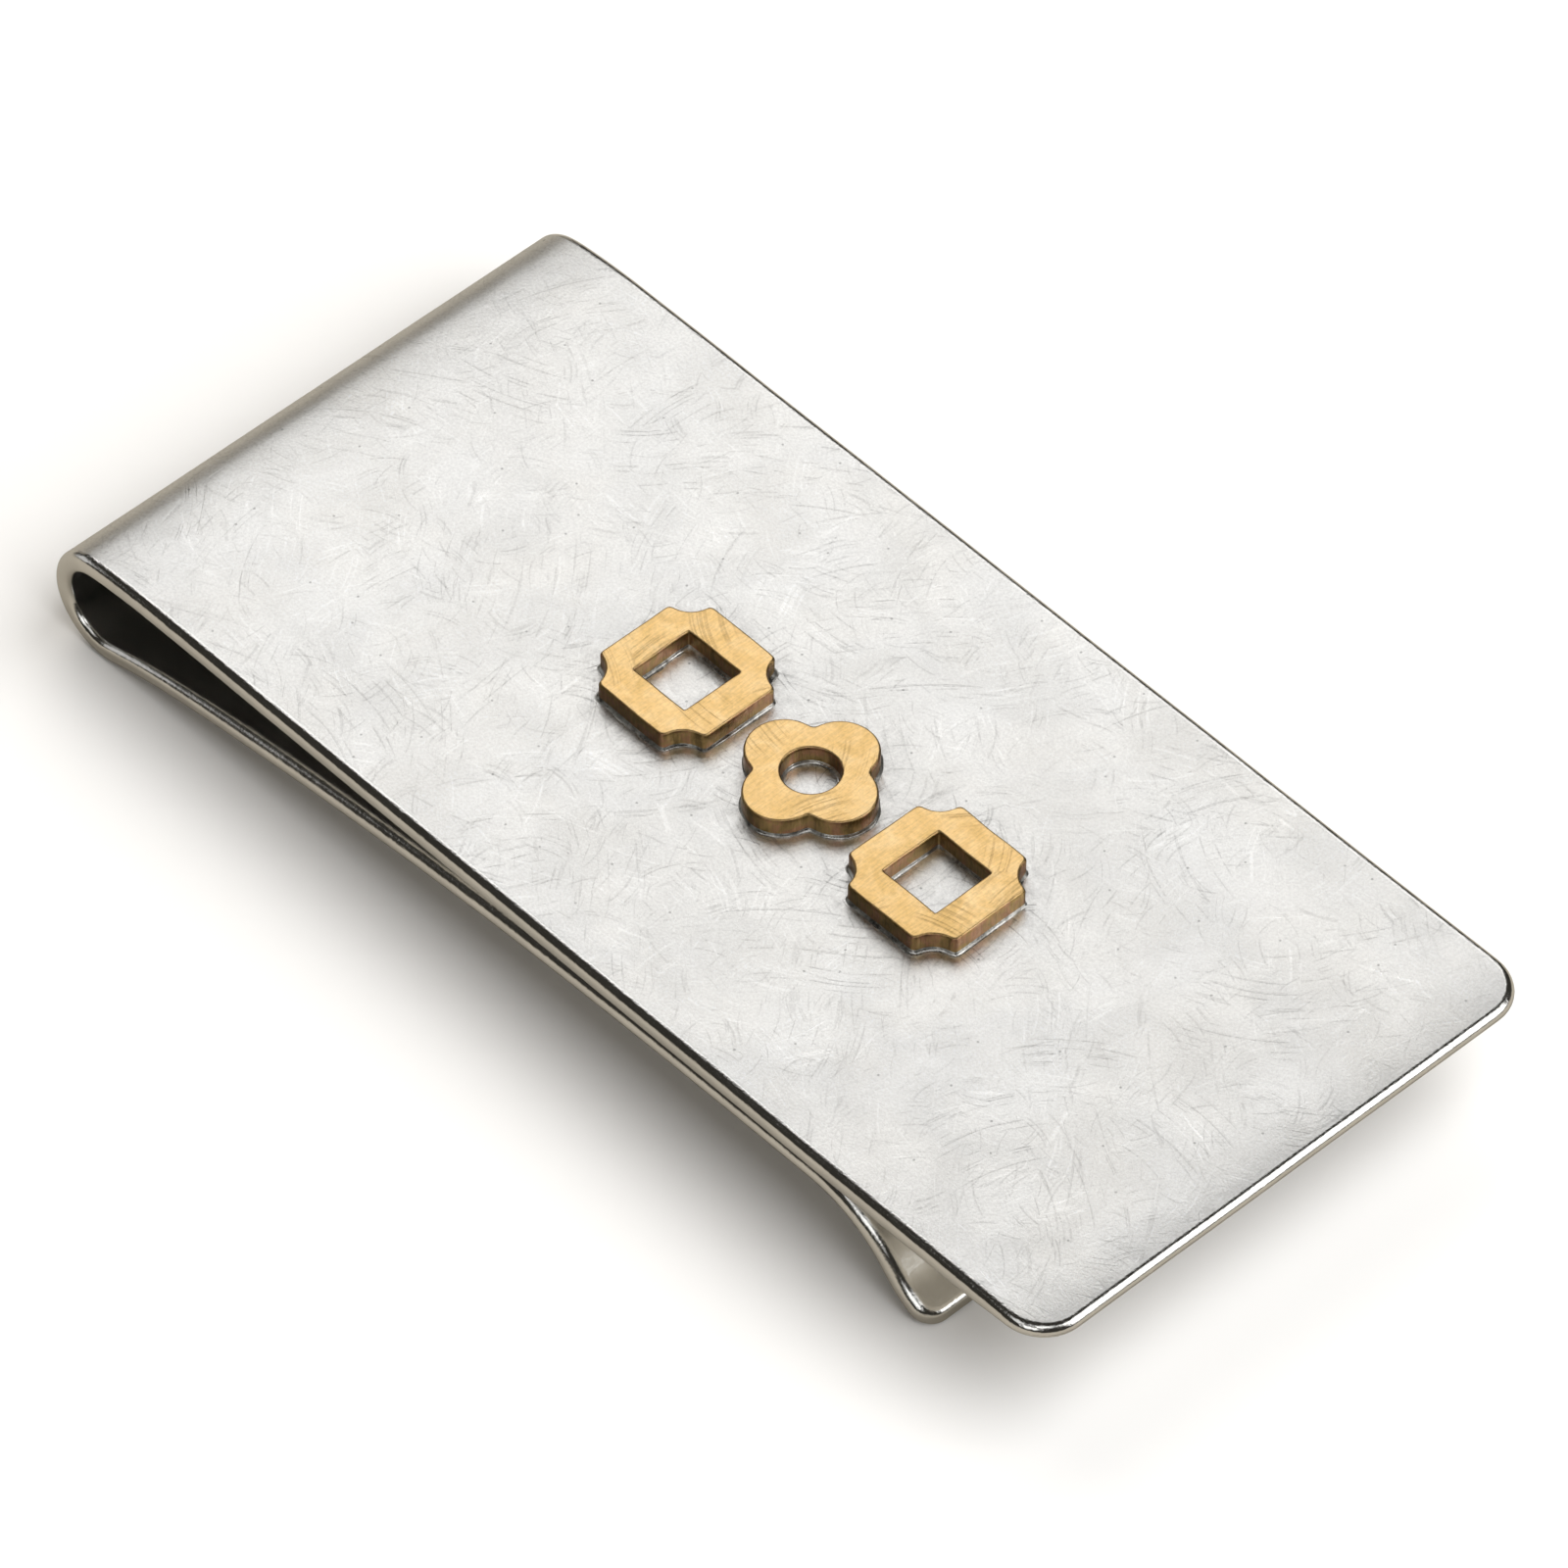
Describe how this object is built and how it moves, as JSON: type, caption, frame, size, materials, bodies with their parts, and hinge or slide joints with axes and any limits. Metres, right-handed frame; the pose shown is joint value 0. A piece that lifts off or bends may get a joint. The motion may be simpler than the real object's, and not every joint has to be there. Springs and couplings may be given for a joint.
{
  "type": "money clip",
  "caption": "Folded silver-coloured strip money clip: flat front plate with a row of pierced brass ornaments, and a spring leg behind it that grips notes.",
  "frame": {"origin": "under the middle of the clip's box, on the surface that it lies on", "axes": "+X along the strip from the fold to the free end, +Y across the strip, +Z out of the front face with the ornaments"},
  "size_m": [0.055, 0.0254, 0.0061],
  "materials": {
    "silver": "sterling silver, satin with fine random scratches on the front, polished edges and inside",
    "brass": "satin brass with softened edges",
    "solder": "bright silver solder, slightly rough"
  },
  "bodies": {
    "front": {"front_plate": "silver", "spring_fold": "silver", "ornament_left": "brass", "ornament_centre": "brass", "ornament_right": "brass", "solder_left": "solder", "solder_centre": "solder", "solder_right": "solder"},
    "leg": {"spring_leg": "silver"}
  },
  "joints": [
    {"name": "leg_flex", "type": "hinge", "parent": "leg", "child": "front", "pos_m": [-0.02485, 0, 0.00265], "axis": [0, -1, 0], "range_deg": [0, 7], "stiffness_Nm_per_rad": 3, "springref_deg": -1.72, "deforming": ["spring_fold"]}
  ]
}
